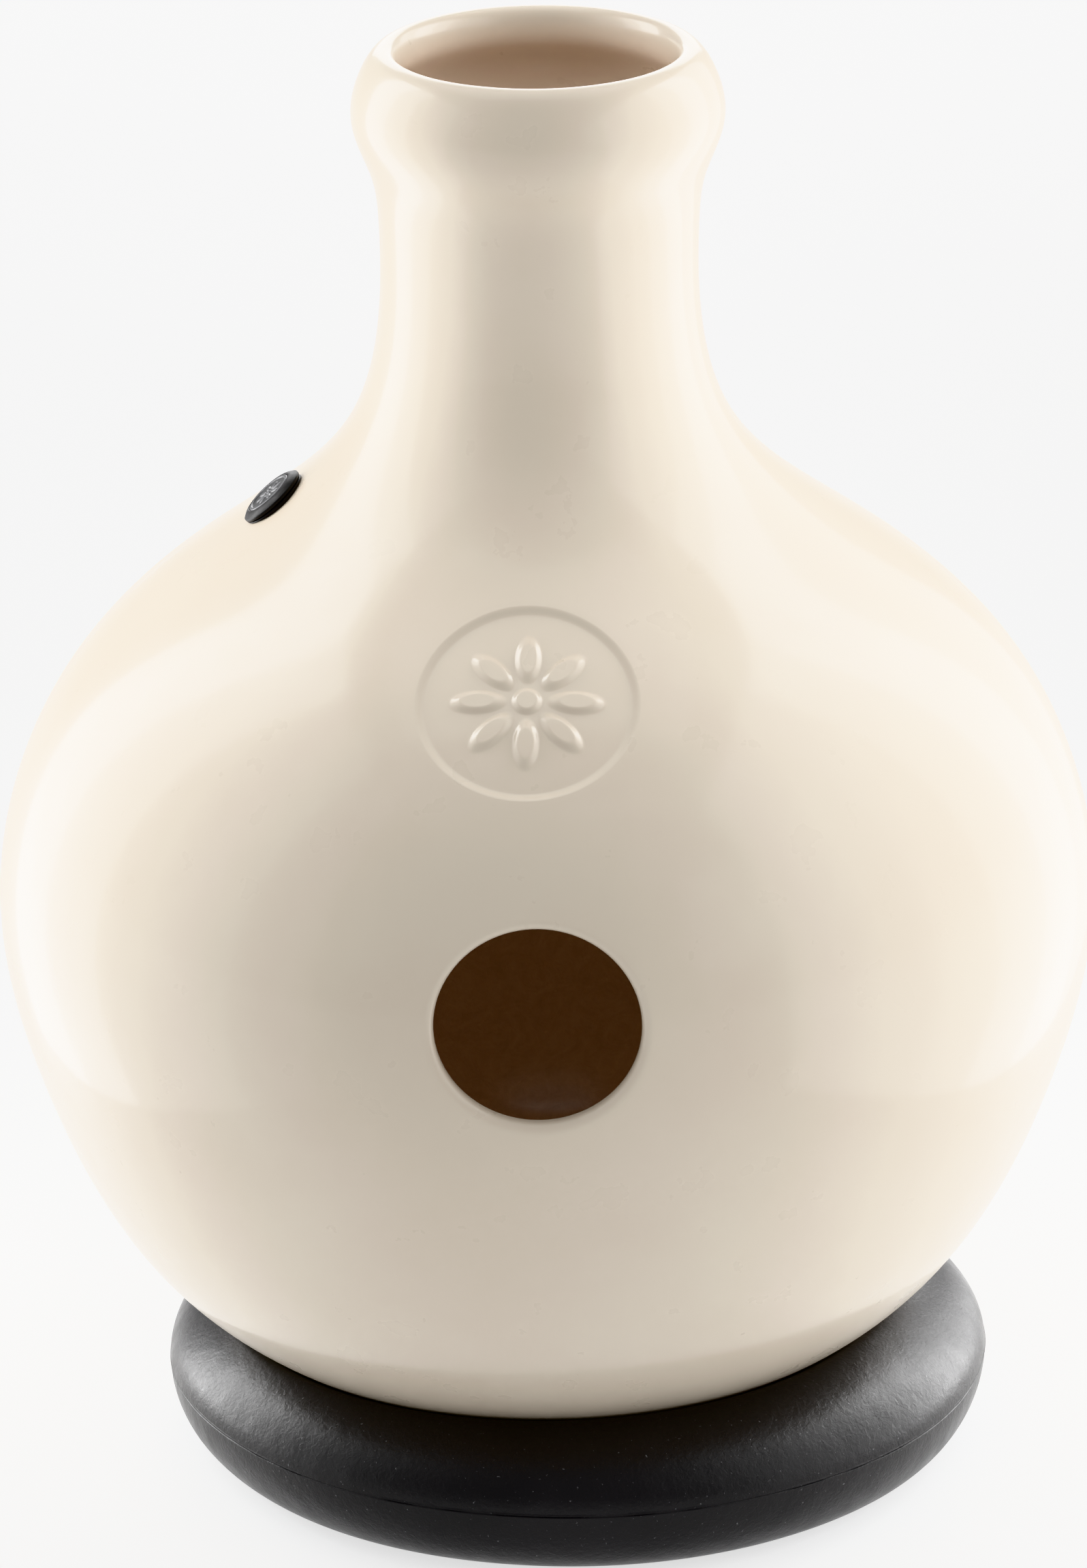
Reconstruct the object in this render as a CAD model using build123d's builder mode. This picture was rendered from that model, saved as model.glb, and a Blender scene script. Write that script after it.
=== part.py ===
from build123d import *
import math
import os

# A pot drum: a bottle-shaped vessel of glass-fibre laminate with a sound hole in its belly
# and a plugged port in its left shoulder, resting in a moulded foam ring.
# Millimetres.  Z = 0 is the floor, the drum's axis is the Z axis, and the sound hole faces -Y.

# Drum: its outer form turns round the Z axis
POLE_Z = 15.5  # lowest point of the belly
BELLY_R = 178.8
BELLY_Z = 192.0
NECK_R = 51.1
NECK_Z = 416.0
LIP_R = 59.3
LIP_Z = 450.7
CREST_R = 48.0
HEIGHT = 474.4
THROAT_R = 44.4
WALL = 6.0

# Sound hole, cut level through the front of the belly
HOLE_X = -3.6
HOLE_Z = 209.9
HOLE_WIDTH = 64.5
HOLE_HEIGHT = 60.5

# Emblem: a shallow round recess in the front shoulder, with a rosette left standing in it
EMBLEM_TURN = -2.7  # degrees round the axis from straight ahead
EMBLEM_TILT = 50.0  # degrees above level
EMBLEM_CENTRE_R = 119.5
EMBLEM_CENTRE_Z = 297.5
EMBLEM_R = 34.6
EMBLEM_DEPTH = 1.2
PETALS = 8
PETAL_LENGTH = 17.0
PETAL_WIDTH = 8.0
PETAL_CENTRE_R = 15.5
BOSS_R = 4.5

# Port in the left shoulder, with its grommet, plug and badge
PORT_TILT = 49.0
PORT_R = 86.2
PORT_Z = 324.3
PORT_HOLE_R = 9.0
FLANGE_R = 11.3
FLANGE_REACH = 0.7  # how far each flange stands off the wall
GROMMET_BORE_R = 7.0
STEM_R = 6.7
STEM_LENGTH = 12.0
STEM_CHAMFER = 1.0
HEAD_R = 11.5
HEAD_EDGE = 0.9
HEAD_RISE = 1.5
HEAD_GAP = 0.3
BADGE_R = 8.2
BADGE_THICKNESS = 0.8
BADGE_GAP = 0.1

# Glass tape over the seam between the two halves
TAPE_WIDTH = 40.0
TAPE_THICKNESS = 1.2
TAPE_TOP_Z = 300.0
BOND_LINE = 0.1

# Foam ring.  It lies a little off the drum's axis, as a loose ring does.
RING_X = 8.0
RING_R = 136.0
RING_SPLIT_Z = 25.8  # height of the moulding line
RING_FOOT_R = 114.5  # outer edge of its flat underside
RING_CROWN_R = 96.0
RING_TOP_Z = 51.3
RING_BORE_R = 66.0
RING_BORE_EDGE = 5.0
SEAT_GAP = 0.3

REACH = 60.0  # how far a cutting tool runs past what it cuts
OUTLINE = [
    (0, POLE_Z),
    (78.5, 31.3),
    (130.0, 65.5),
    (167.0, 131.8),
    (BELLY_R, BELLY_Z),
    (158.4, 259.2),
    (122.0, 297.8),
    (61.0, 352.0),
    (NECK_R, NECK_Z),
    (53.4, 433.5),
    (LIP_R, LIP_Z),
    (56.6, 466.0),
    (CREST_R, HEIGHT),
]
ARCS_PER_SPAN = 2
UNIT_SPEED = (1, 1)  # end tangents as long as the chords they start and finish
BODY_STEPS = 16  # spans of an inset curve between the pole and the neck
LIP_INSIDE = [(48.6, 436.0), (52.0, 449.5), (49.0, 457.5), (45.1, 463.0), (THROAT_R, 468.0)]


def inset_points(depth):
    """Points a depth inside the drum's outer form, from the pole up to the neck."""
    neck = outer_form.param_at_point(Vector(NECK_R, NECK_Z))
    points = []
    for step in range(BODY_STEPS + 1):
        place = outer_form @ (neck * step / BODY_STEPS)
        heading = outer_form % (neck * step / BODY_STEPS)
        points.append((place.X - depth * heading.Y, place.Y + depth * heading.X))
    return points


def arcs_along(curve, points):
    """Draw a smooth curve as arcs, so that each revolved face is part of a plain torus."""
    stops = [curve.param_at_point(Vector(*point)) for point in points]
    for start, end in zip(stops, stops[1:]):
        for step in range(ARCS_PER_SPAN):
            first = start + (end - start) * step / ARCS_PER_SPAN
            last = start + (end - start) * (step + 1) / ARCS_PER_SPAN
            ThreePointArc(curve @ first, curve @ ((first + last) / 2), curve @ last)


def body_form(depth):
    """The drum's solid body up to its neck, a depth inside its outer form."""
    points = inset_points(depth)
    with BuildLine() as side:
        Spline(*points, tangents=[(1, 0), (0, 1)], tangent_scalars=UNIT_SPEED)
    with BuildPart() as form:
        with BuildSketch(Plane.XZ):
            with BuildLine():
                arcs_along(side.edge(), points)
                Polyline(points[-1], (0, points[-1][1]), points[0])
            make_face()
        revolve(axis=Axis.Z)
    return form.part


def tilted_plane(turn, tilt, radius, height):
    """Plane on the drum's skin: turn is in degrees round from the front, tilt is above level."""
    turn = math.radians(turn)
    tilt = math.radians(tilt)
    outward = (math.sin(turn), -math.cos(turn))
    origin = (radius * outward[0], radius * outward[1], height)
    normal = (outward[0] * math.cos(tilt), outward[1] * math.cos(tilt), math.sin(tilt))
    sideways = (-outward[1], outward[0], 0)
    return Plane(origin=origin, x_dir=sideways, z_dir=normal)


def save(piece, name):
    """Label a finished piece and write it to its own file."""
    piece.part.label = name
    export_step(piece.part, f"parts/{name}.step")


os.makedirs("parts", exist_ok=True)
# Half section of the shell's wall, between its outer form and its inner one
with BuildLine() as outer_line:
    Spline(*OUTLINE, tangents=[(1, 0), (-1, 0)], tangent_scalars=UNIT_SPEED)
outer_form = outer_line.edge()
wall_points = [*inset_points(WALL), *LIP_INSIDE, OUTLINE[-1]]
with BuildLine() as inner_line:
    Spline(*wall_points, tangents=[(1, 0), (1, 0)], tangent_scalars=UNIT_SPEED)
with BuildSketch(Plane.XZ) as wall_section:
    with BuildLine():
        arcs_along(outer_form, OUTLINE)
        arcs_along(inner_line.edge(), wall_points)
        Line(wall_points[0], OUTLINE[0])
    make_face()

emblem_plane = tilted_plane(EMBLEM_TURN, EMBLEM_TILT, EMBLEM_CENTRE_R, EMBLEM_CENTRE_Z)
port_plane = tilted_plane(-90, PORT_TILT, PORT_R, PORT_Z)

# Sinking for the emblem: a disc as deep as the recess, with the rosette taken out of it
with BuildPart() as emblem_sinking:
    with BuildSketch(emblem_plane):
        Circle(EMBLEM_R)
    extrude(amount=REACH / 2, both=True)
    add(body_form(EMBLEM_DEPTH), mode=Mode.SUBTRACT)
    with BuildSketch(emblem_plane):
        Circle(BOSS_R)
        with PolarLocations(PETAL_CENTRE_R, PETALS):
            Ellipse(PETAL_LENGTH / 2, PETAL_WIDTH / 2)
    extrude(amount=REACH / 2, both=True, mode=Mode.SUBTRACT)

# Front half of the shell
with BuildPart() as shell_front:
    add(wall_section.sketch)
    revolve(axis=Axis.Z, revolution_arc=-180)
    with BuildSketch(Plane.XZ):
        with Locations((HOLE_X, HOLE_Z)):
            Ellipse(HOLE_WIDTH / 2, HOLE_HEIGHT / 2)
    extrude(amount=BELLY_R + REACH, mode=Mode.SUBTRACT)
    with BuildSketch(port_plane):
        Circle(PORT_HOLE_R)
    extrude(amount=REACH / 2, both=True, mode=Mode.SUBTRACT)
    add(emblem_sinking.part, mode=Mode.SUBTRACT)
save(shell_front, "shell_front")

# Back half of the shell
with BuildPart() as shell_back:
    add(wall_section.sketch)
    revolve(axis=Axis.Z, revolution_arc=180)
    with BuildSketch(port_plane):
        Circle(PORT_HOLE_R)
    extrude(amount=REACH / 2, both=True, mode=Mode.SUBTRACT)
save(shell_back, "shell_back")

# Glass tape inside the seam, down one side, under the belly and up the other
with BuildPart() as joint_tape:
    add(body_form(WALL + BOND_LINE))
    add(body_form(WALL + BOND_LINE + TAPE_THICKNESS), mode=Mode.SUBTRACT)
    with BuildSketch(Plane.XY):
        Rectangle(2 * BELLY_R, TAPE_WIDTH)
    extrude(amount=TAPE_TOP_Z, mode=Mode.INTERSECT)
save(joint_tape, "joint_tape")

# Rubber grommet: a tube with a flange on each side of the wall
with BuildPart() as port_grommet:
    with BuildSketch(port_plane):
        Circle(FLANGE_R)
    extrude(amount=FLANGE_REACH)
    with BuildSketch(port_plane.offset(-WALL - FLANGE_REACH)):
        Circle(FLANGE_R)
    extrude(amount=WALL + FLANGE_REACH)
    with BuildSketch(port_plane):
        Circle(GROMMET_BORE_R)
    extrude(amount=REACH / 2, both=True, mode=Mode.SUBTRACT)
    add(shell_front.part, mode=Mode.SUBTRACT)
    add(shell_back.part, mode=Mode.SUBTRACT)
save(port_grommet, "port_grommet")

# Rubber plug: a stem in the grommet's bore, under a domed head with a seat for the badge
head_plane = port_plane.offset(FLANGE_REACH + HEAD_GAP)
with BuildPart() as port_plug:
    with BuildSketch(head_plane.offset(-STEM_LENGTH)):
        Circle(STEM_R)
    extrude(amount=STEM_LENGTH)
    chamfer(port_plug.edges().group_by(Axis(port_plane.origin, port_plane.z_dir))[0], STEM_CHAMFER)
    head_section = Plane(origin=head_plane.origin, x_dir=port_plane.x_dir, z_dir=-port_plane.y_dir)
    with BuildSketch(head_section):
        with BuildLine():
            side = Line((HEAD_R, 0), (HEAD_R, HEAD_EDGE))
            dome = ThreePointArc(
                side @ 1,
                (HEAD_R * 0.8, HEAD_EDGE + HEAD_RISE * 0.55),
                (BADGE_R, HEAD_EDGE + HEAD_RISE),
            )
            Polyline(dome @ 1, (0, HEAD_EDGE + HEAD_RISE), (0, 0), side @ 0)
        make_face()
    revolve(axis=Axis(port_plane.origin, port_plane.z_dir))
    with BuildSketch(head_plane.offset(HEAD_EDGE + HEAD_RISE - BADGE_THICKNESS)):
        Circle(BADGE_R + BADGE_GAP)
    extrude(amount=BADGE_THICKNESS, mode=Mode.SUBTRACT)
save(port_plug, "port_plug")

# Badge: a plain disc let into the head
with BuildPart() as plug_badge:
    with BuildSketch(head_plane.offset(HEAD_EDGE + HEAD_RISE - BADGE_THICKNESS)):
        Circle(BADGE_R)
    extrude(amount=BADGE_THICKNESS)
save(plug_badge, "plug_badge")

# Foam ring: a rounded tyre shape, hollowed by a seat that follows the belly
ring_axis = Axis((RING_X, 0, 0), (0, 0, 1))
with BuildPart() as ring_cushion:
    with BuildSketch(Plane(origin=ring_axis.position, x_dir=(1, 0, 0), z_dir=(0, -1, 0))):
        with BuildLine():
            lower = EllipticalCenterArc(
                (RING_FOOT_R, RING_SPLIT_Z),
                RING_R - RING_FOOT_R,
                RING_SPLIT_Z,
                start_angle=270,
                arc_size=90,
            )
            upper = EllipticalCenterArc(
                (RING_CROWN_R, RING_SPLIT_Z),
                RING_R - RING_CROWN_R,
                RING_TOP_Z - RING_SPLIT_Z,
                start_angle=0,
                arc_size=90,
            )
            bore = Polyline(upper @ 1, (RING_BORE_R, RING_TOP_Z), (RING_BORE_R, RING_BORE_EDGE))
            edge = TangentArc(bore @ 1, (RING_BORE_R + RING_BORE_EDGE, 0), tangent=(0, -1))
            Line(edge @ 1, lower @ 0)
        make_face()
    revolve(axis=ring_axis)
    add(body_form(-SEAT_GAP), mode=Mode.SUBTRACT)
save(ring_cushion, "ring_cushion")
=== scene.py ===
import math

import bmesh
import bpy
import numpy as np
from mathutils import Matrix, Vector


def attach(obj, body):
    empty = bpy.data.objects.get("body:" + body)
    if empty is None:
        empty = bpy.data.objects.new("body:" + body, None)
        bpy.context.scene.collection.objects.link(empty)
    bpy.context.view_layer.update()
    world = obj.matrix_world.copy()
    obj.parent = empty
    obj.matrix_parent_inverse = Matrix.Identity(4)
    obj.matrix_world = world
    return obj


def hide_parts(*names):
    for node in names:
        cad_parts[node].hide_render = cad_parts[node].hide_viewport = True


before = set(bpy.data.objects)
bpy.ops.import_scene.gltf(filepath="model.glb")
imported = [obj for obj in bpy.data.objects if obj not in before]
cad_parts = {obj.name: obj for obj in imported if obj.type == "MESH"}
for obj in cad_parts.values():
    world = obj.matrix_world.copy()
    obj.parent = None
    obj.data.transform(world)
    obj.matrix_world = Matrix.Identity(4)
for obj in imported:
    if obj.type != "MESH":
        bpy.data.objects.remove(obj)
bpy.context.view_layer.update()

MM = 0.001  # shapes are worked out in millimetres and made in metres

# The drum's outside, radius and height, from the pole of its belly to the crest of its lip
OUTLINE = [
    (0, 15.5), (78.5, 31.3), (130.0, 65.5), (167.0, 131.8), (178.8, 192.0), (158.4, 259.2), (122.0, 297.8),
    (61.0, 352.0), (51.1, 416.0), (53.4, 433.5), (59.3, 450.7), (56.6, 466.0), (48.0, 474.4),
]
NECK_POINT = 8
BELLY_SPANS = 3  # spans of the outline that can touch the ring
WALL = 6.0
LIP_INSIDE = [(48.6, 436.0), (52.0, 449.5), (49.0, 457.5), (45.1, 463.0), (44.4, 468.0)]
LIP_FOOT = 425.0

SOUND_HOLE = {"x": -3.6, "z": 209.9, "half_width": 32.25, "half_height": 30.25}
HOLE_LIP = 3.4
HOLE_INNER_LIP = 1.0
BARE_FROM = 1.5  # how far under the crest of the lip the inside begins to take the painted warm bounce tint, on its way down to bare laminate with a painted glow
BARE_REACH = 160.0

EMBLEM = {"turn": -2.7, "tilt": 50.0, "radius": 119.5, "height": 297.5}
EMBLEM_R = 34.6
EMBLEM_DEPTH = 1.2
EMBLEM_BRIM = 0.9
EMBLEM_SLOPE = 3.4
PETALS = 8
PETAL_HALF_LENGTH = 8.5
PETAL_HALF_WIDTH = 4.0
PETAL_CENTRE_R = 15.5
BOSS_R = 4.5
ROSETTE_R = PETAL_CENTRE_R + PETAL_HALF_LENGTH
RELIEF_SLOPE = 2.2
RELIEF_RISE = 1.1  # the rosette's height over the recess floor, as a share of the recess depth

PORT = {"turn": -90.0, "tilt": 49.0, "radius": 86.2, "height": 324.3}
PORT_HOLE_R = 9.0
PORT_LIP = 0.5
FLANGE_R = 11.3
FLANGE_REACH = 0.7
GROMMET_BORE_R = 7.0
STEM_R = 6.7
STEM_LENGTH = 12.0
STEM_CHAMFER = 1.0
HEAD_R = 11.5
HEAD_EDGE = 0.9
HEAD_RISE = 1.5
HEAD_BULGE = 0.25
HEAD_GAP = 0.3
BADGE_R = 8.2
BADGE_THICKNESS = 0.8
BADGE_GAP = 0.1
BADGE_GROUND = 0.32  # depth of the ground between the badge's rim and its rosette
BADGE_RELIEF = 0.3
BADGE_RIM = 1.3
BADGE_PETAL_CENTRE_R = 3.4
BADGE_PETAL_HALF_LENGTH = 2.1
BADGE_PETAL_HALF_WIDTH = 0.95
BADGE_BOSS_R = 1.0

RING_X = 8.0
RING_R = 136.0
RING_SPLIT_Z = 25.8
RING_FOOT_R = 114.5
RING_CROWN_R = 96.0
RING_TOP_Z = 51.3
RING_BORE_R = 66.0
RING_BORE_EDGE = 5.0
SEAT_GAP = 0.6
SEAT_SOFTNESS = 0.9
# The moulding line round the ring: height over its middle, and how far the foam stands out or in there
MOULDING_LINE = (
    (-0.55, 0.0), (-0.3, 0.02), (-0.15, -0.3), (0.0, -0.42), (0.15, -0.3), (0.3, 0.22), (0.55, 0.0),
)

# Fineness of the meshes
TURNS = 240
RING_TURNS = 320
ROW_STEP = 3.2
LIP_STEP = 0.9
CURVE_SAMPLES = 400
HOLE_WINDOW = (13, 10)  # rows and columns of the drum's grid on each side of a hole's middle
PORT_WINDOW = (5, 7)
EMBLEM_WINDOW = (13, 14)
# Rings of points within the emblem's slope: outermost and innermost radius, spacing, and refinement
EMBLEM_RINGS = (
    (EMBLEM_R - 3.5, ROSETTE_R + 1.4, 1.6, 4),
    (ROSETTE_R + 1.2, 6.0, 0.4, 4),
    (5.8, 2.4, 0.25, 2),
    (1.8, 0.0, 0.9, 1),
)

# The studio, in metres. A side panel is made of upright strips, each with its own radiance.
CAMERA_ELEVATION = 20.8
CAMERA_ROLL = 0.72
CAMERA_TARGET = (-0.84, 0, 225.06)
CAMERA_DISTANCE = 2.8347
CAMERA_LENS = 199.52
CAMERA_SENSOR = 36
PANEL_EDGES = (-0.38, -0.24, -0.14, -0.05, 0.05, 0.19, 0.45)
PANEL_HEIGHT = 0.73
PANEL_MIDDLE_Z = 0.37
PANEL_AIM_Z = 0.36
SIDE_PANELS = (
    ("left_panel", -0.325, (0.38, 1.1, 0.97, 4.0, 9.2, 0.1)),
    ("right_panel", 0.335, (1.28, 1.44, 2.12, 4.7, 8.95, 3.5)),
)
BOX_AIM = (0, 0, 0.2)
SKY_AT_HORIZON = (0.52, 0.52, 0.52)
SKY_OVERHEAD = (0.685, 0.685, 0.685)
FLOOR_HALF_SIZE = 8
FLOOR_GLOW = 0.70

# Colours. Where there are two or three, the surface varies between them.
CREAM = (0.542, 0.476, 0.393), (0.560, 0.498, 0.414)
# Painted bounce light: the cream inside the neck is made lighter and warmer, standing in for warm light
# bounced about within the drum.
PAINTED_WARM_BOUNCE = (0.70, 0.575, 0.465)
LAMINATE = (0.58, 0.465, 0.37), (0.66, 0.54, 0.44), (0.74, 0.62, 0.51)
PAINTED_INSIDE_GLOW = (1.0, 0.62, 0.45)  # painted glow: a faint warm light that the bare laminate inside gives off, standing in for light that reaches the inside
PAINTED_INSIDE_GLOW_STRENGTH = 0.02
FOAM = (0.008, 0.0076, 0.0082), (0.014, 0.0132, 0.0142)
DUST = (0.10, 0.10, 0.105)
RUBBER = (0.008, 0.008, 0.008), (0.014, 0.013, 0.013)
METAL = (0.10, 0.10, 0.105), (0.15, 0.15, 0.155)
ENAMEL = (0.010, 0.010, 0.011), (0.018, 0.018, 0.019)
TAPE = (0.09, 0.04, 0.015), (0.20, 0.11, 0.05)


# ---------------------------------------------------------------- curves
def curve_slopes(points, start, end):
    """Slopes at the points of the cubic curve through them that leaves and arrives along unit vectors."""
    p = np.array(points, float)
    chord = np.linalg.norm(np.diff(p, axis=0), axis=1)
    weights = np.eye(len(p))
    sides = np.zeros((len(p), 2))
    sides[0] = start
    sides[-1] = end
    for i in range(1, len(p) - 1):
        before, after = chord[i - 1], chord[i]
        weights[i, i - 1 : i + 2] = after, 2 * (before + after), before
        sides[i] = 3 * (after * (p[i] - p[i - 1]) / before + before * (p[i + 1] - p[i]) / after)
    return p, chord, np.linalg.solve(weights, sides)


def smooth_curve(points, start, end):
    """A dense run of points along that curve."""
    p, chord, slopes = curve_slopes(points, start, end)
    t = np.linspace(0, 1, CURVE_SAMPLES, endpoint=False)[:, None]
    spans = [
        (1 + 2 * t) * (1 - t) ** 2 * p[i]
        + t * (1 - t) ** 2 * chord[i] * slopes[i]
        + t * t * (3 - 2 * t) * p[i + 1]
        + t * t * (t - 1) * chord[i] * slopes[i + 1]
        for i in range(len(p) - 1)
    ]
    return np.vstack(spans + [p[-1:]])


def spaced(curve, step_at):
    """Points picked along a dense curve, step_at(height) apart."""
    length = np.linalg.norm(np.diff(curve, axis=0), axis=1)
    middle = (curve[1:, 1] + curve[:-1, 1]) / 2
    count = np.concatenate([[0], np.cumsum(length / step_at(middle))])
    wanted = np.linspace(0, count[-1], int(round(count[-1])) + 1)
    return np.column_stack([np.interp(wanted, count, curve[:, k]) for k in (0, 1)])


def row_step(height):
    return np.where(height > LIP_FOOT, LIP_STEP, ROW_STEP)


def smoothstep(x):
    x = np.clip(x, 0, 1)
    return x * x * (3 - 2 * x)


points, _, slopes = curve_slopes(OUTLINE, (1, 0), (-1, 0))
tangents = slopes / np.linalg.norm(slopes, axis=1)[:, None]
inward = np.column_stack([-tangents[:, 1], tangents[:, 0]])
inside_points = list((points + WALL * inward)[: NECK_POINT + 1]) + LIP_INSIDE + [OUTLINE[-1]]

outside_curve = smooth_curve(OUTLINE, (1, 0), (-1, 0))
inside_curve = smooth_curve(inside_points, (1, 0), (1, 0))


def outside_radius(height):
    return np.interp(height, outside_curve[:, 1], outside_curve[:, 0])


def inside_radius(height):
    return np.interp(height, inside_curve[:, 1], inside_curve[:, 0])


def belly_height(radius):
    """Height of the belly's underside at a distance from the drum's axis."""
    under = outside_curve[: BELLY_SPANS * CURVE_SAMPLES]
    return np.interp(radius, under[:, 0], under[:, 1])


# ---------------------------------------------------------------- mesh building
class Surface:
    """Points and faces that are collected before they become one mesh."""

    def __init__(self):
        self.points = np.zeros((0, 3))
        self.faces = []

    def add(self, points):
        first = len(self.points)
        self.points = np.vstack([self.points, points])
        return np.arange(first, first + len(points))

    def band(self, one, two):
        """Closes the band between two rings of points, of which one may have twice as many as the other."""
        if len(one) > len(two):
            one, two = two, one
        n = len(one)
        for i in range(n):
            j = (i + 1) % n
            if len(two) == n:
                self.faces.append((one[i], one[j], two[j], two[i]))
            else:
                a, b, c = two[2 * i], two[2 * i + 1], two[(2 * i + 2) % (2 * n)]
                self.faces += [(one[i], b, a), (one[i], one[j], b), (one[j], c, b)]

    def fan(self, ring, centre):
        tip = self.add([centre])[0]
        for i in range(len(ring)):
            self.faces.append((ring[i], ring[(i + 1) % len(ring)], tip))

    def cells(self, grid, windows=()):
        """Faces of a grid that closes round its columns, apart from those in the windows."""
        rows, columns = grid.shape
        cut = {(j, i % columns) for j0, j1, i0, i1 in windows for j in range(j0, j1) for i in range(i0, i1)}
        for j in range(rows - 1):
            for i in range(columns):
                if (j, i) not in cut:
                    k = (i + 1) % columns
                    self.faces.append((grid[j, i], grid[j, k], grid[j + 1, k], grid[j + 1, i]))


def turned(rows):
    """Rings of points about the drum's axis, one for each radius and height, from the front round."""
    turn = np.linspace(0, 2 * math.pi, TURNS, endpoint=False)
    return [np.column_stack([r * np.sin(turn), -r * np.cos(turn), np.full(TURNS, z)]) for r, z in rows]


def window_at(rows, turn, radius, height, half_rows, half_columns):
    """Rows and columns of the cells within reach of a place on a turned skin."""
    middle_row = int(np.argmin(np.hypot(rows[:, 0] - radius, rows[:, 1] - height)))
    middle_column = round(turn / 360 * TURNS)
    return (
        middle_row - half_rows, middle_row + half_rows,
        middle_column - half_columns, middle_column + half_columns,
    )


def window_loop(grid, window):
    """The grid's points round a window, in order."""
    j0, j1, i0, i1 = window
    columns = grid.shape[1]
    below = [grid[j0, i % columns] for i in range(i0, i1)]
    right = [grid[j, i1 % columns] for j in range(j0, j1)]
    above = [grid[j1, i % columns] for i in range(i1, i0, -1)]
    left = [grid[j, i0 % columns] for j in range(j1, j0, -1)]
    return np.array(below + right + above + left)


def tilted_axes(turn, tilt, radius, height):
    """Origin, and the sideways, upward and outward directions of a plane that faces away from the axis."""
    turn, tilt = math.radians(turn), math.radians(tilt)
    outward = np.array([math.sin(turn), -math.cos(turn), 0])
    sideways = np.array([math.cos(turn), math.sin(turn), 0])
    normal = outward * math.cos(tilt) + np.array([0, 0, math.sin(tilt)])
    origin = outward * radius + np.array([0, 0, height])
    return origin, np.array([sideways, np.cross(normal, sideways), normal])


class Patch:
    """Rings of points that lead from a window in a turned skin to a round shape, and on from there."""

    def __init__(self, surface, loop, plane, radius_at, half_width, half_height):
        self.surface = surface
        self.ring = loop
        self.origin, self.axes = plane
        self.radius_at = radius_at
        self.half = half_width, half_height
        self.border = ((surface.points[loop] - self.origin) @ self.axes.T)[:, :2]

    def step(self, share=1.0, spread=0.0, depth=0.0, refine=1):
        """Adds a ring, share of the way from the window to the shape grown by spread, and sinks it."""
        count = len(self.border) * refine
        place = np.arange(count) / refine
        border = np.column_stack(
            [np.interp(place, np.arange(len(self.border) + 1), np.append(b, b[0])) for b in self.border.T]
        )
        angle = math.atan2(*self.border[0][::-1]) + 2 * math.pi * np.arange(count) / count
        a, b = (max(h + spread, 1e-6) for h in self.half)
        reach = 1 / np.hypot(np.cos(angle) / a, np.sin(angle) / b)
        flat = (1 - share) * border + share * np.column_stack([reach * np.cos(angle), reach * np.sin(angle)])
        sunk = depth(flat) if callable(depth) else depth
        ring = self.surface.add(self.onto_skin(flat) - np.outer(np.ones(count) * sunk, self.axes[2]))
        self.surface.band(self.ring, ring)
        self.ring = ring

    def onto_skin(self, flat):
        """Places in the plane, moved square to it onto the skin."""
        nudge = 0.01
        height = np.zeros(len(flat))
        for _ in range(12):
            at = self.origin + flat @ self.axes[:2] + np.outer(height, self.axes[2])
            on = at + nudge * self.axes[2]
            miss = np.hypot(at[:, 0], at[:, 1]) - self.radius_at(at[:, 2])
            next_miss = np.hypot(on[:, 0], on[:, 1]) - self.radius_at(on[:, 2])
            height -= miss * nudge / (next_miss - miss)
        return self.origin + flat @ self.axes[:2] + np.outer(height, self.axes[2])


def make_piece(name, surface, material, body):
    """Turns a surface into a named piece that moves with a body."""
    mesh = bpy.data.meshes.new(name)
    mesh.from_pydata((surface.points * MM).tolist(), [], [tuple(int(v) for v in f) for f in surface.faces])
    bm = bmesh.new()
    bm.from_mesh(mesh)
    bmesh.ops.recalc_face_normals(bm, faces=bm.faces)
    bm.to_mesh(mesh)
    bm.free()
    mesh.shade_smooth()
    mesh.materials.append(material)
    piece = bpy.data.objects.new(name, mesh)
    bpy.context.scene.collection.objects.link(piece)
    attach(piece, body)
    return piece


def add_attribute(piece, name, values):
    """A value at every point of a piece, for its material to read."""
    attribute = piece.data.attributes.new(name, "FLOAT", "POINT")
    attribute.data.foreach_set("value", values.astype(np.float32))


# ---------------------------------------------------------------- materials
def new_material(name, roughness):
    material = bpy.data.materials.new(name)
    material.use_nodes = True
    tree = material.node_tree
    shader = tree.nodes["Principled BSDF"]
    shader.inputs["Roughness"].default_value = roughness
    return material, tree, shader


def add_node(tree, kind, values=None, **settings):
    made = tree.nodes.new("ShaderNode" + kind)
    for name, value in settings.items():
        setattr(made, name, value)
    for name, value in (values or {}).items():
        made.inputs[name].default_value = value
    return made


def noise(tree, scale, detail=3, distortion=0.0, roughness=0.5):
    """Noise in the piece's own coordinates. A scale of 1000 has grains about a millimetre wide."""
    place = add_node(tree, "TexCoord")
    made = add_node(
        tree, "TexNoise", {"Scale": scale, "Detail": detail, "Distortion": distortion, "Roughness": roughness}
    )
    tree.links.new(place.outputs["Object"], made.inputs["Vector"])
    return made.outputs["Fac"]


def ramp(tree, factor, *stops):
    """Colours, or greys given as one number, at positions along a factor."""
    made = add_node(tree, "ValToRGB")
    elements = made.color_ramp.elements
    while len(elements) < len(stops):
        elements.new(0.5)
    for element, (position, colour) in zip(elements, stops):
        element.position = position
        element.color = (*colour, 1) if hasattr(colour, "__len__") else (colour, colour, colour, 1)
    tree.links.new(factor, made.inputs["Fac"])
    return made.outputs["Color"]


def mix(tree, factor, one, two, blend="MIX"):
    made = add_node(tree, "Mix", data_type="RGBA", blend_type=blend)
    for socket, value in (("Factor", factor), ("A", one), ("B", two)):
        target = next(s for s in made.inputs if s.name == socket and s.enabled and s.type != "VECTOR")
        if isinstance(value, bpy.types.NodeSocket):
            tree.links.new(value, target)
        else:
            target.default_value = value if socket == "Factor" else (*value, 1)
    return next(s for s in made.outputs if s.enabled)


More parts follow.
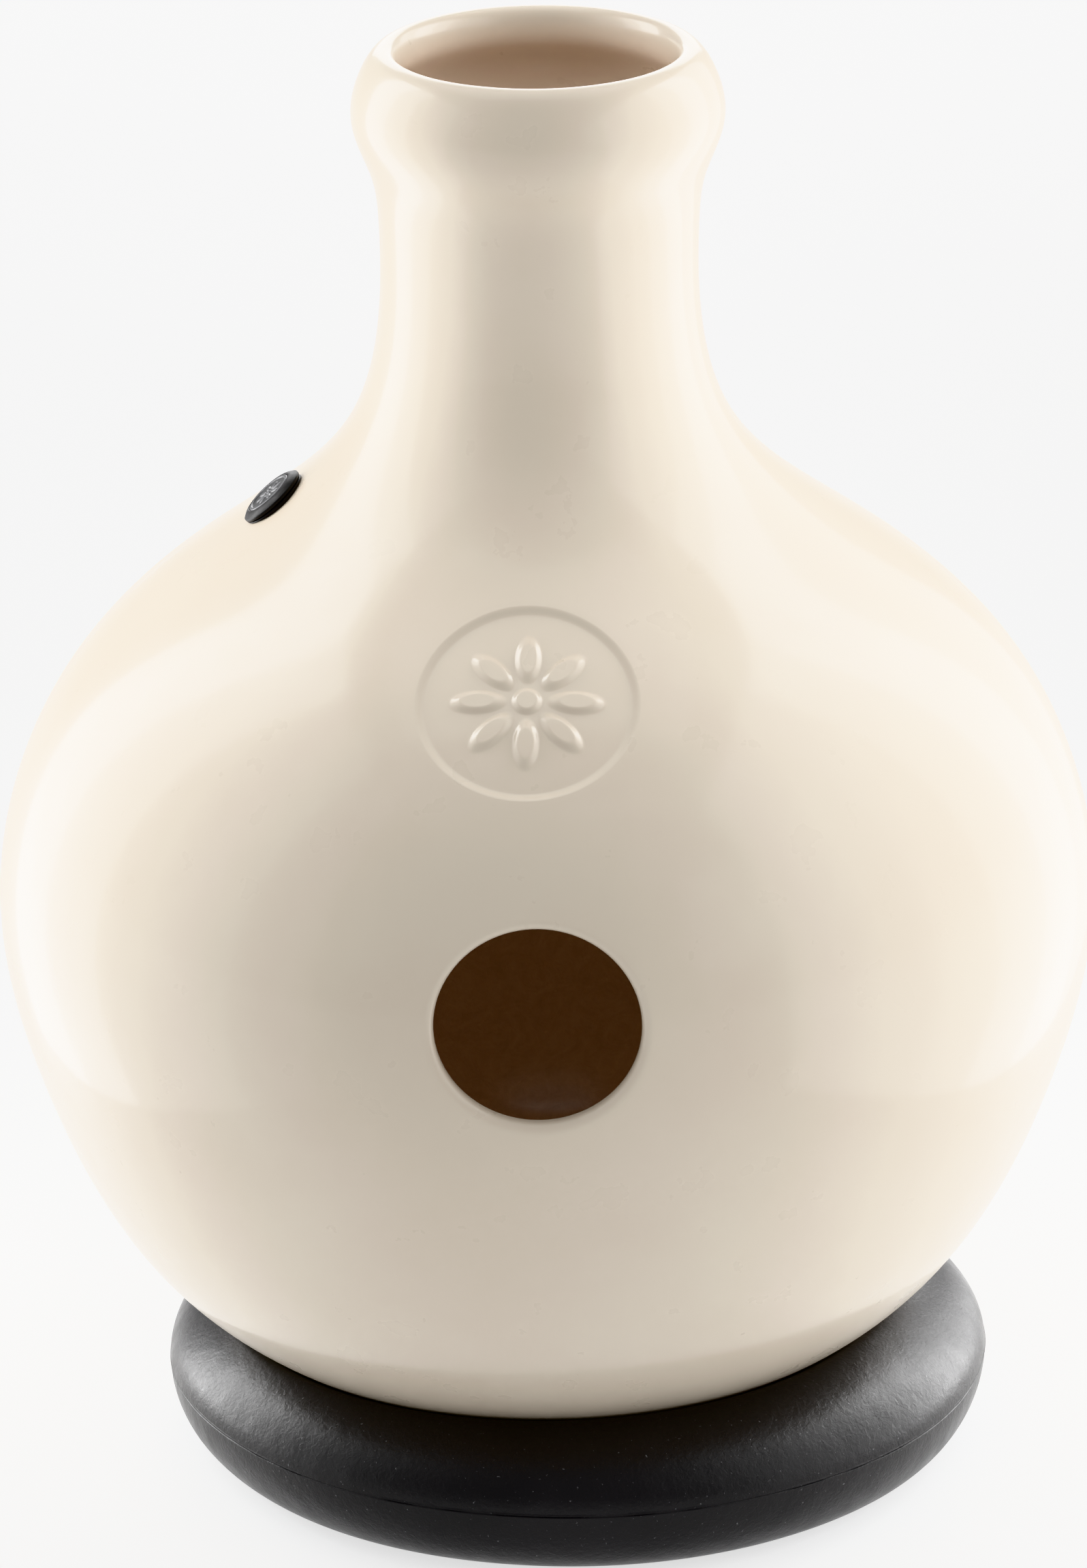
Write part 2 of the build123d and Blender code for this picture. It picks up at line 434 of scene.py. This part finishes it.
def bump(tree, height, distance, under=None):
    """A normal tilted by a height, which lies distance millimetres deep on top of the bumps under it."""
    made = add_node(tree, "Bump", {"Strength": 1.0, "Distance": distance * MM})
    tree.links.new(height, made.inputs["Height"])
    if under is not None:
        tree.links.new(under, made.inputs["Normal"])
    return made.outputs["Normal"]


def paint_material():
    """Cream gloss paint over a fibreglass lay-up, which stays bare and brown inside, with a painted warm
    bounce tint under the lip and a faint painted glow on the bare laminate.
    """
    material, tree, shader = new_material("cream_paint", 0.3)
    shader.inputs["Coat Weight"].default_value = 0.5
    shader.inputs["Specular IOR Level"].default_value = 0.31
    shader.inputs["Coat Roughness"].default_value = 0.11
    link = tree.links.new
    cream = ramp(tree, noise(tree, 16, 4), (0.35, CREAM[0]), (0.65, CREAM[1]))
    patches = noise(tree, 70, 8, 2.0, 0.7)
    laminate = ramp(tree, patches, (0.3, LAMINATE[0]), (0.5, LAMINATE[1]), (0.72, LAMINATE[2]))
    bare = add_node(tree, "Attribute", attribute_name="bare")
    edge = add_node(tree, "MapRange", {"From Min": 0.72, "From Max": 1.05}, interpolation_type="SMOOTHSTEP")
    warm_bounce = add_node(tree, "MapRange", {"From Min": 0.0, "From Max": 0.08}, interpolation_type="SMOOTHSTEP")
    # ragged edge of the bare laminate, which also sets where the painted glow lies
    worn_and_glow = add_node(tree, "Math", operation="MULTIPLY_ADD")
    worn_and_glow.inputs[1].default_value = 0.3
    link(noise(tree, 45, 5), worn_and_glow.inputs[0])
    link(bare.outputs["Fac"], worn_and_glow.inputs[2])
    link(worn_and_glow.outputs[0], edge.inputs["Value"])
    link(bare.outputs["Fac"], warm_bounce.inputs["Value"])
    # painted bounce light: below the lip the inside turns to a lighter, warmer cream
    coat_with_warm_bounce = mix(tree, warm_bounce.outputs["Result"], cream, PAINTED_WARM_BOUNCE)
    link(mix(tree, edge.outputs["Result"], coat_with_warm_bounce, laminate), shader.inputs["Base Color"])
    # painted glow: the bare laminate inside gives off a faint warm light of its own
    link(mix(tree, edge.outputs["Result"], (0, 0, 0), PAINTED_INSIDE_GLOW), shader.inputs["Emission Color"])
    shader.inputs["Emission Strength"].default_value = PAINTED_INSIDE_GLOW_STRENGTH
    gloss = ramp(tree, noise(tree, 60, 5), (0.3, 0.26), (0.7, 0.36))
    link(mix(tree, edge.outputs["Result"], gloss, (0.5, 0.5, 0.5)), shader.inputs["Roughness"])
    peel = bump(tree, noise(tree, 380, 3), 0.015)
    waves = bump(tree, noise(tree, 55, 2), 0.16, under=peel)
    fibre = bump(tree, noise(tree, 160, 8, 2.5, 0.7), 0.5, under=waves)
    chosen = add_node(tree, "Mix", data_type="VECTOR")
    link(edge.outputs["Result"], chosen.inputs["Factor"])
    vectors = [s for s in chosen.inputs if s.type == "VECTOR" and s.enabled]
    link(waves, vectors[-2])
    link(fibre, vectors[-1])
    link(next(s for s in chosen.outputs if s.enabled), shader.inputs["Normal"])
    return material


def foam_material():
    """Black moulded foam with a satin skin, finely grained and lightly dusted."""
    material, tree, shader = new_material("black_foam", 0.36)
    shader.inputs["Specular IOR Level"].default_value = 0.39
    link = tree.links.new
    body = ramp(tree, noise(tree, 25, 4), (0.3, FOAM[0]), (0.7, FOAM[1]))
    dust = ramp(tree, noise(tree, 900, 2), (0.70, 0.0), (0.78, 1.0))
    link(mix(tree, dust, body, DUST), shader.inputs["Base Color"])
    link(ramp(tree, noise(tree, 140, 6), (0.3, 0.28), (0.7, 0.37)), shader.inputs["Roughness"])
    grain = bump(tree, noise(tree, 620, 6, 0.6, 0.6), 0.16)
    link(bump(tree, noise(tree, 120, 3), 0.25, under=grain), shader.inputs["Normal"])
    return material


def rubber_material():
    """Dull black rubber with a fine grain."""
    material, tree, shader = new_material("black_rubber", 0.42)
    shader.inputs["Specular IOR Level"].default_value = 0.14
    link = tree.links.new
    link(ramp(tree, noise(tree, 150, 5), (0.3, RUBBER[0]), (0.7, RUBBER[1])), shader.inputs["Base Color"])
    link(ramp(tree, noise(tree, 400, 4), (0.3, 0.34), (0.7, 0.5)), shader.inputs["Roughness"])
    link(bump(tree, noise(tree, 1500, 3), 0.04), shader.inputs["Normal"])
    return material


def badge_material():
    """Bright metal where the relief stands up, dark enamel in between."""
    material, tree, shader = new_material("enamelled_badge", 0.35)
    link = tree.links.new
    raised = add_node(tree, "Attribute", attribute_name="raised").outputs["Fac"]
    metal = ramp(tree, noise(tree, 500, 6), (0.3, METAL[0]), (0.7, METAL[1]))
    enamel = ramp(tree, noise(tree, 300, 4), (0.3, ENAMEL[0]), (0.7, ENAMEL[1]))
    link(mix(tree, raised, enamel, metal), shader.inputs["Base Color"])
    link(ramp(tree, raised, (0.0, 0.0), (1.0, 0.9)), shader.inputs["Metallic"])
    link(ramp(tree, noise(tree, 900, 5), (0.3, 0.30), (0.7, 0.44)), shader.inputs["Roughness"])
    link(bump(tree, noise(tree, 2500, 3), 0.01), shader.inputs["Normal"])
    return material


def tape_material():
    """Glass tape soaked in resin: crossing strands over brown laminate."""
    material, tree, shader = new_material("resin_tape", 0.35)
    link = tree.links.new
    place = add_node(tree, "TexCoord")
    strands = []
    for direction in ("X", "Z"):
        wave = add_node(
            tree, "TexWave", {"Scale": 170.0, "Distortion": 1.2, "Detail": 2.0}, bands_direction=direction
        )
        link(place.outputs["Object"], wave.inputs["Vector"])
        strands.append(wave.outputs["Fac"])
    weave = mix(tree, 0.5, strands[0], strands[1])
    tone = ramp(tree, noise(tree, 80, 6, 1.0), (0.3, TAPE[0]), (0.7, TAPE[1]))
    link(mix(tree, 0.5, tone, weave, "MULTIPLY"), shader.inputs["Base Color"])
    link(bump(tree, weave, 0.25), shader.inputs["Normal"])
    return material


# ---------------------------------------------------------------- the drum's shell
def emblem_depth(flat):
    """How deep the surface lies within the round recess, with its rosette standing up from the floor."""
    x, y = flat.T
    out = np.hypot(x, y)
    floor = smoothstep((EMBLEM_R + EMBLEM_BRIM - out) / EMBLEM_SLOPE)
    turn = np.arctan2(x, y)
    part = 2 * math.pi / PETALS
    within = (turn + part / 2) % part - part / 2
    along = (out * np.cos(within) - PETAL_CENTRE_R) / PETAL_HALF_LENGTH
    across = out * np.sin(within) / PETAL_HALF_WIDTH
    petal = (1 - np.hypot(along, across)) * PETAL_HALF_WIDTH
    boss = BOSS_R - out
    raised = np.maximum(smoothstep((petal + 0.5) / RELIEF_SLOPE), smoothstep((boss + 0.6) / RELIEF_SLOPE))
    return EMBLEM_DEPTH * floor * (1 - RELIEF_RISE * raised)


def soft_unevenness(points):
    """Hand work leaves the wall a little out of round."""
    turn = np.arctan2(points[:, 0], -points[:, 1])
    radius = np.hypot(points[:, 0], points[:, 1])
    height = points[:, 2]
    swell = (
        0.10 * np.sin(2 * turn + height / 58 + 0.6)
        + 0.07 * np.sin(5 * turn - height / 33 + 2.1)
        + 0.05 * np.sin(9 * turn + height / 21 + 4.0)
    )
    grown = 1 + swell * np.clip(radius / 60, 0, 1) / np.maximum(radius, 1)
    return points * np.column_stack([grown, grown, np.ones(len(points))])


def hole_patches(surface, grid, rows, radius_at, side, windows):
    """The rims of the sound hole and of the plug's port in one skin. side is 1 outside and -1 inside."""
    hole_window, port_window = windows
    hole_r = float(radius_at(SOUND_HOLE["z"]))
    hole_axes = np.array([[1, 0, 0], [0, 0, 1], [0, -1, 0]], float)
    hole_plane = np.array([SOUND_HOLE["x"], -hole_r, SOUND_HOLE["z"]]), hole_axes
    hole = Patch(
        surface, window_loop(grid, hole_window), hole_plane, radius_at,
        SOUND_HOLE["half_width"], SOUND_HOLE["half_height"],
    )
    port_plane = tilted_axes(**PORT)
    port = Patch(surface, window_loop(grid, port_window), port_plane, radius_at, PORT_HOLE_R, PORT_HOLE_R)
    for patch, lip in ((hole, HOLE_LIP if side > 0 else HOLE_INNER_LIP), (port, PORT_LIP)):
        for share in (0.35, 0.62, 0.82, 0.94, 1.0):
            patch.step(share, spread=lip)
        for angle in np.radians(np.arange(15, 91, 15)):
            patch.step(spread=lip * (1 - math.sin(angle)), depth=side * lip * (1 - math.cos(angle)))
    return hole.ring, port.ring


def emblem_patch(surface, loop, radius_at):
    """The pressed recess with its rosette, let into the outer skin."""
    patch = Patch(surface, loop, tilted_axes(**EMBLEM), radius_at, EMBLEM_R, EMBLEM_R)
    patch.step(0.4, spread=EMBLEM_BRIM)
    patch.step(0.75, spread=EMBLEM_BRIM, refine=2)
    patch.step(1.0, spread=EMBLEM_BRIM, refine=4)
    for out in np.arange(0.75, -2.6, -0.25):
        patch.step(spread=out, depth=emblem_depth, refine=4)
    for outermost, innermost, spacing, refine in EMBLEM_RINGS:
        for radius in np.arange(outermost, innermost, -spacing):
            patch.step(spread=radius - EMBLEM_R, depth=emblem_depth, refine=refine)
    surface.fan(patch.ring, surface.points[patch.ring].mean(axis=0))


def bareness(points, painted):
    """0 on paint and 1 on bare laminate; it also places the painted warm bounce tint and the painted glow
    inside. The first points, painted of them, are the outer skin.
    """
    bare = np.clip((OUTLINE[-1][1] - BARE_FROM - points[:, 2]) / BARE_REACH, 0, 1)
    from_hole = np.hypot(
        (points[:, 0] - SOUND_HOLE["x"]) / SOUND_HOLE["half_width"],
        (points[:, 2] - SOUND_HOLE["z"]) / SOUND_HOLE["half_height"],
    )
    in_front = points[:, 1] < -100
    bare = np.where(in_front, bare * smoothstep((from_hole - 1.05) / 0.25), bare)
    bare[:painted] = 0
    return bare


def make_shell(material):
    """Both skins of the drum, joined at the lip and at the rims of its holes."""
    surface = Surface()
    outside_rows = spaced(outside_curve, row_step)
    inside_rows = spaced(inside_curve, row_step)[:-1]
    skins = []
    painted = 0
    for rows, radius_at, side in ((outside_rows, outside_radius, 1), (inside_rows, inside_radius, -1)):
        if side < 0:
            painted = len(surface.points)
        grid = np.array([surface.add(ring) for ring in turned(rows[1:])])
        surface.fan(grid[0], (0, 0, rows[0, 1]))
        windows = [
            window_at(rows[1:], 0, float(radius_at(SOUND_HOLE["z"])), SOUND_HOLE["z"], *HOLE_WINDOW),
            window_at(rows[1:], PORT["turn"], PORT["radius"], PORT["height"], *PORT_WINDOW),
        ]
        cut = list(windows)
        if side > 0:
            emblem_window = window_at(
                rows[1:], EMBLEM["turn"], EMBLEM["radius"], EMBLEM["height"], *EMBLEM_WINDOW
            )
            cut.append(emblem_window)
            emblem_patch(surface, window_loop(grid, emblem_window), radius_at)
        surface.cells(grid, cut)
        skins.append((grid, hole_patches(surface, grid, rows[1:], radius_at, side, windows)))
    (outside, outside_rims), (inside, inside_rims) = skins
    surface.band(outside[-1], inside[-1])
    for one, two in zip(outside_rims, inside_rims):
        surface.band(one, two)
    bare = bareness(surface.points, painted)
    surface.points = soft_unevenness(surface.points)
    shell = make_piece("shell", surface, material, "drum")
    add_attribute(shell, "bare", bare)
    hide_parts("shell_front", "shell_back")


# ---------------------------------------------------------------- the foam ring
def soft_least(one, two, width):
    """The lesser of two values, with the change from one to the other rounded off."""
    return -width * np.logaddexp(-one / width, -two / width)


def make_ring(material):
    """A tyre of foam whose inside is moulded to the drum's belly."""
    surface = Surface()
    turn = np.linspace(0, 2 * math.pi, RING_TURNS, endpoint=False)
    flash = np.clip(np.sin(7 * turn + 1) + np.sin(19 * turn + 2.2) + np.sin(43 * turn + 0.4) + 0.4, 0, 1)
    uneven = 0.35 * np.sin(3 * turn + 1.1) + 0.22 * np.sin(8 * turn + 0.3)

    def ring_at(radius, height):
        radius = radius + np.zeros(RING_TURNS)
        x = RING_X + radius * np.cos(turn)
        y = radius * np.sin(turn)
        seat = belly_height(np.hypot(x, y)) - SEAT_GAP
        height = soft_least(height + np.zeros(RING_TURNS), seat, SEAT_SOFTNESS)
        return np.column_stack([x, y, np.maximum(height, 0)])

    rows = []
    for radius in np.linspace(RING_BORE_R + RING_BORE_EDGE, RING_FOOT_R, 8):
        rows.append(ring_at(radius, 0.0))
    width, lower, upper = RING_R - RING_FOOT_R, RING_SPLIT_Z, RING_TOP_Z - RING_SPLIT_Z
    for angle in np.radians(np.linspace(-86, -3, 26)):
        bulge = uneven * math.cos(angle)
        rows.append(ring_at(RING_FOOT_R + width * math.cos(angle) + bulge, lower + lower * math.sin(angle)))
    for offset, proud in MOULDING_LINE:
        rows.append(ring_at(RING_R + uneven + proud * (0.45 + 0.55 * flash), RING_SPLIT_Z + offset))
    for angle in np.radians(np.linspace(2.5, 90, 60)):
        bulge = uneven * math.cos(angle)
        radius = RING_CROWN_R + (RING_R - RING_CROWN_R) * math.cos(angle) + bulge
        rows.append(ring_at(radius, RING_SPLIT_Z + upper * math.sin(angle)))
    for radius in np.linspace(RING_CROWN_R - 2, RING_BORE_R + 2, 12):
        rows.append(ring_at(radius, RING_TOP_Z))
    top = rows[-1][:, 2]
    for share in (0.12, 0.5, 0.85):
        row = ring_at(RING_BORE_R, RING_TOP_Z)
        row[:, 2] = top * (1 - share)
        rows.append(row)
    grid = np.array([surface.add(row) for row in rows])
    surface.cells(grid)
    surface.band(grid[-1], grid[0])
    ring = make_piece("foam_ring", surface, material, "ring")
    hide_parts("ring_cushion")


# ---------------------------------------------------------------- the port's grommet, plug and badge
def port_rows(surface, profile, count=96):
    """Rings about the port's own axis. Each has a radius, and a height that may vary round it."""
    origin, axes = tilted_axes(**PORT)
    turn = np.linspace(0, 2 * math.pi, count, endpoint=False)
    rings = []
    for radius, height in profile:
        flat = np.column_stack([radius * np.cos(turn), radius * np.sin(turn)])
        tall = height(flat) if callable(height) else height + np.zeros(count)
        rings.append(surface.add(origin + flat @ axes[:2] + np.outer(tall, axes[2])))
    return rings


def skin_height(radius_at, lift):
    """Height of a skin over the port's plane, moved by lift."""
    origin, axes = tilted_axes(**PORT)

    def height(flat):
        holder = Surface()
        loop = holder.add(origin + flat @ axes[:2])
        patch = Patch(holder, loop, (origin, axes), radius_at, PORT_HOLE_R, PORT_HOLE_R)
        return (patch.onto_skin(flat) - origin) @ axes[2] + lift

    return height


def rounded(corner, before, after, radius, steps=5):
    """Points round a corner of a profile, between the directions it is reached from and left by."""
    corner, before, after = (np.array(p, float) for p in (corner, before, after))
    start = corner + radius * (before - corner) / np.linalg.norm(before - corner)
    end = corner + radius * (after - corner) / np.linalg.norm(after - corner)
    share = np.linspace(0, 1, steps)[:, None]
    curve = (1 - share) ** 2 * start + 2 * share * (1 - share) * corner + share**2 * end
    return [tuple(p) for p in curve]


def make_grommet(material):
    """A sleeve through the port with a flange on each skin."""
    surface = Surface()
    outer_skin = skin_height(outside_radius, 0.05)
    inner_skin = skin_height(inside_radius, -0.05)
    top, low = FLANGE_REACH, -WALL - FLANGE_REACH
    profile = [
        (PORT_HOLE_R - 0.05, outer_skin),
        (FLANGE_R - 0.4, outer_skin),
        (FLANGE_R, skin_height(outside_radius, 0.2)),
    ]
    profile += rounded((FLANGE_R, top), (FLANGE_R, 0), (0, top), 0.5)
    profile += rounded((GROMMET_BORE_R, top), (FLANGE_R, top), (GROMMET_BORE_R, 0), 0.4)
    profile += rounded((GROMMET_BORE_R, low), (GROMMET_BORE_R, 0), (FLANGE_R, low), 0.4)
    profile += rounded((FLANGE_R, low), (0, low), (FLANGE_R, 0), 0.5)
    profile += [(FLANGE_R - 0.4, inner_skin), (PORT_HOLE_R - 0.05, inner_skin)]
    rings = port_rows(surface, profile)
    for one, two in zip(rings, rings[1:] + rings[:1]):
        surface.band(one, two)
    grommet = make_piece("grommet", surface, material, "drum")
    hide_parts("port_grommet")


def make_plug(material):
    """A stem under a domed head, whose top is let in for the badge."""
    surface = Surface()
    foot = FLANGE_REACH + HEAD_GAP
    edge, top = foot + HEAD_EDGE, foot + HEAD_EDGE + HEAD_RISE
    seat = top - BADGE_THICKNESS
    recess_r = BADGE_R + BADGE_GAP
    profile = [(0.4, foot - STEM_LENGTH), (3.0, foot - STEM_LENGTH)]
    profile += rounded((STEM_R, foot - STEM_LENGTH), (0, foot - STEM_LENGTH), (STEM_R, foot), STEM_CHAMFER)
    profile += rounded((STEM_R, foot), (STEM_R, 0), (HEAD_R, foot), 0.25, 3)
    profile += rounded((HEAD_R, foot), (0, foot), (HEAD_R, top), 0.25, 4)
    profile.append((HEAD_R, edge - 0.35))
    for share in np.linspace(0, 0.93, 10):
        height = edge + share * HEAD_RISE + HEAD_BULGE * math.sin(math.pi * share)
        profile.append((HEAD_R + share * (recess_r - HEAD_R), height))
    profile += rounded((recess_r, top), (HEAD_R, edge), (recess_r, seat), 0.3, 4)
    profile += [(recess_r, seat + 0.1), (recess_r - 0.1, seat), (3.0, seat), (0.4, seat)]
    rings = port_rows(surface, profile)
    for one, two in zip(rings, rings[1:]):
        surface.band(one, two)
    for ring in (rings[0], rings[-1]):
        surface.fan(ring, surface.points[ring].mean(axis=0))
    plug = make_piece("plug", surface, material, "plug")
    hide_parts("port_plug")


def make_badge(material):
    """A disc with a raised rim and a small rosette."""
    surface = Surface()
    top = FLANGE_REACH + HEAD_GAP + HEAD_EDGE + HEAD_RISE
    low = top - BADGE_THICKNESS + 0.02

    def raised_at(flat):
        out = np.hypot(*flat.T)
        turn = np.arctan2(flat[:, 0], flat[:, 1])
        part = 2 * math.pi / PETALS
        within = (turn + part / 2) % part - part / 2
        along = (out * np.cos(within) - BADGE_PETAL_CENTRE_R) / BADGE_PETAL_HALF_LENGTH
        petal = 1 - np.hypot(along, out * np.sin(within) / BADGE_PETAL_HALF_WIDTH)
        rosette = np.maximum(smoothstep(petal * 2.2), smoothstep((BADGE_BOSS_R - out) * 2))
        rim = smoothstep((out - BADGE_R + BADGE_RIM) / 0.3) * smoothstep((BADGE_R - out) / 0.25)
        return np.maximum(rosette, rim)

    def relief(flat):
        return top - BADGE_GROUND + BADGE_RELIEF * raised_at(flat)

    profile = [(0.3, low), (4.0, low), (BADGE_R - 0.15, low), (BADGE_R, low + 0.15), (BADGE_R, top - 0.34)]
    profile += [(radius, relief) for radius in np.arange(BADGE_R - 0.05, BADGE_R - 1.6, -0.08)]
    profile += [(radius, relief) for radius in np.arange(BADGE_R - 1.8, 0.25, -0.16)]
    rings = port_rows(surface, profile, 192)
    for one, two in zip(rings, rings[1:]):
        surface.band(one, two)
    for ring in (rings[0], rings[-1]):
        surface.fan(ring, surface.points[ring].mean(axis=0))
    origin, axes = tilted_axes(**PORT)
    raised = raised_at((surface.points - origin) @ axes[:2].T)
    badge = make_piece("badge", surface, material, "plug")
    add_attribute(badge, "raised", raised)
    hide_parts("plug_badge")


# ---------------------------------------------------------------- studio
def make_camera():
    """A long lens above the drum's front, turned a touch about its own axis."""
    elevation = math.radians(CAMERA_ELEVATION)
    roll = math.radians(CAMERA_ROLL)
    forward = Vector((0, math.cos(elevation), -math.sin(elevation)))
    right = Vector((1, 0, 0))
    up = Vector((0, math.sin(elevation), math.cos(elevation)))
    right, up = (
        math.cos(roll) * right - math.sin(roll) * up,
        math.sin(roll) * right + math.cos(roll) * up,
    )
    target = Vector(CAMERA_TARGET) * MM
    data = bpy.data.cameras.new("camera")
    data.lens = CAMERA_LENS
    data.sensor_width = CAMERA_SENSOR
    camera = bpy.data.objects.new("camera", data)
    place = target - forward * CAMERA_DISTANCE
    rows = [(right[k], up[k], -forward[k], place[k]) for k in range(3)]
    camera.matrix_world = Matrix(rows + [(0, 0, 0, 1)])
    bpy.context.scene.collection.objects.link(camera)
    bpy.context.scene.camera = camera


def soft_box(name, place, target, width, height, radiance):
    """A rectangular light that the camera doesn't see."""
    data = bpy.data.lights.new(name, "AREA")
    data.shape = "RECTANGLE"
    data.size = width
    data.size_y = height
    data.energy = radiance * math.pi * width * height
    light = bpy.data.objects.new(name, data)
    light.location = place
    light.rotation_euler = (Vector(target) - Vector(place)).to_track_quat("-Z", "Y").to_euler()
    light.visible_camera = False
    bpy.context.scene.collection.objects.link(light)


def make_floor():
    """White paper, lit from below as well."""
    material, tree, shader = new_material("floor_paper", 0.9)
    tone = ramp(tree, noise(tree, 3, 2), (0.3, 0.36), (0.7, 0.38))
    tree.links.new(tone, shader.inputs["Base Color"])
    shader.inputs["Specular IOR Level"].default_value = 0.1
    shader.inputs["Emission Color"].default_value = (1, 1, 1, 1)
    shader.inputs["Emission Strength"].default_value = FLOOR_GLOW
    bm = bmesh.new()
    bmesh.ops.create_grid(bm, x_segments=4, y_segments=4, size=FLOOR_HALF_SIZE)
    mesh = bpy.data.meshes.new("floor")
    bm.to_mesh(mesh)
    bm.free()
    mesh.materials.append(material)
    floor = bpy.data.objects.new("floor", mesh)
    bpy.context.scene.collection.objects.link(floor)


def make_light():
    """Two bright panels close beside the drum, and weaker light from the other sides."""
    world = bpy.data.worlds.new("studio")
    world.use_nodes = True
    tree = world.node_tree
    place = add_node(tree, "TexCoord")
    parts = add_node(tree, "SeparateXYZ")
    tree.links.new(place.outputs["Generated"], parts.inputs["Vector"])
    sky = ramp(tree, parts.outputs["Z"], (0.0, SKY_AT_HORIZON), (0.9, SKY_OVERHEAD))
    tree.links.new(sky, tree.nodes["Background"].inputs["Color"])
    bpy.context.scene.world = world
    bpy.context.scene.view_settings.view_transform = "Khronos PBR Neutral"
    for name, x, strips in SIDE_PANELS:
        for near, far, radiance in zip(PANEL_EDGES, PANEL_EDGES[1:], strips):
            middle = (near + far) / 2
            place = (x, middle, PANEL_MIDDLE_Z)
            soft_box(name, place, (0, middle, PANEL_AIM_Z), far - near, PANEL_HEIGHT, radiance)
    soft_box("top_box", (0.0, 0.25, 2.0), BOX_AIM, 1.6, 1.4, 0.98)
    soft_box("right_box", (1.6, -2.0, 1.2), BOX_AIM, 0.8, 1.2, 0.53)
    soft_box("back_box", (0.0, 2.2, 1.1), BOX_AIM, 1.6, 1.2, 5.8)


make_camera()
rubber = rubber_material()
make_shell(paint_material())
make_ring(foam_material())
make_grommet(rubber)
make_plug(rubber)
make_badge(badge_material())
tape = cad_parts["joint_tape"]
tape.data.materials.clear()
tape.data.materials.append(tape_material())
make_floor()
make_light()
